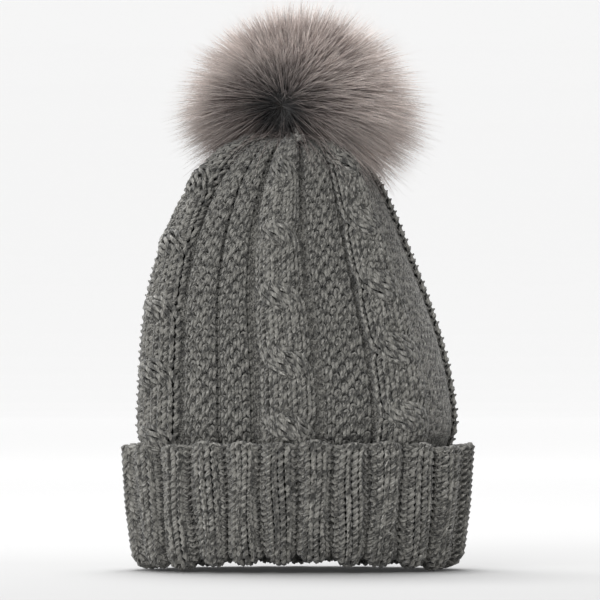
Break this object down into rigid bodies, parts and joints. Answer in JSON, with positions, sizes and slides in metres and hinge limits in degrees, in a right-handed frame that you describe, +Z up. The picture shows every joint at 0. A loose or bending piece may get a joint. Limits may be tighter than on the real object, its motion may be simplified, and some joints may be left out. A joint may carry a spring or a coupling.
{
  "type": "pom pom beanie",
  "caption": "Chunky cable-knit beanie with a turned-up ribbed cuff and a tied-on faux-fur pom that tips and twists on its yarn neck.",
  "frame": {"origin": "middle of the rim, on the surface that the hat stands on", "axes": "+Z up through the crown to the pom, the front of the hat faces -Y, +X to the wearer's left"},
  "size_m": [0.2082, 0.144, 0.3352],
  "materials": {
    "knit_yarn": "matt marled wool-blend yarn, cable and rib stitch",
    "tie_yarn": "matt plied yarn, pale grey",
    "button_resin": "satin resin",
    "disc_board": "matt moulded disc",
    "fur_backing": "close knitted backing cloth",
    "sewing_thread": "polyester thread",
    "fibre_fill": "loose polyester fibre",
    "faux_fur": "long soft pile, dark at the root and pale at the tips",
    "label_tape": "woven satin tape, blank"
  },
  "bodies": {
    "hat": {"crown_knit": "knit_yarn", "cuff_knit": "knit_yarn", "back_seam_yarn": "knit_yarn", "crown_draw_yarn": "knit_yarn", "draw_yarn_knot": "knit_yarn", "inside_button": "button_resin", "button_tie_yarn": "tie_yarn", "tie_end_knot": "tie_yarn", "label_hem": "label_tape", "label_stitches": "sewing_thread"},
    "neck_knot": {"tie_neck_knot": "tie_yarn"},
    "pom_anchor": {"pom_anchor_disc": "disc_board", "pom_tie_loop": "tie_yarn"},
    "pom": {"pom_backing": "fur_backing", "pom_gather_thread": "sewing_thread", "pom_stuffing": "fibre_fill", "pom_fur_pile": "faux_fur"},
    "label": {"care_label": "label_tape"}
  },
  "joints": [
    {"name": "pom_nod", "type": "hinge", "parent": "hat", "child": "neck_knot", "pos_m": [-0.0033, 0, 0.2642], "axis": [1, 0, 0], "range_deg": [-15, 15], "stiffness_Nm_per_rad": 0.08},
    {"name": "pom_sway", "type": "hinge", "parent": "neck_knot", "child": "pom_anchor", "pos_m": [-0.0033, 0, 0.2642], "axis": [0, 1, 0], "range_deg": [-15, 15], "stiffness_Nm_per_rad": 0.08},
    {"name": "pom_twist", "type": "hinge", "parent": "pom_anchor", "child": "pom", "pos_m": [-0.0033, 0, 0.2642], "axis": [0, 0, 1], "range_deg": [-90, 90], "stiffness_Nm_per_rad": 0.004},
    {"name": "label_flap", "type": "hinge", "parent": "hat", "child": "label", "pos_m": [0, 0.0475, 0.0717], "axis": [-1, 0, 0], "range_deg": [0, 70]}
  ]
}
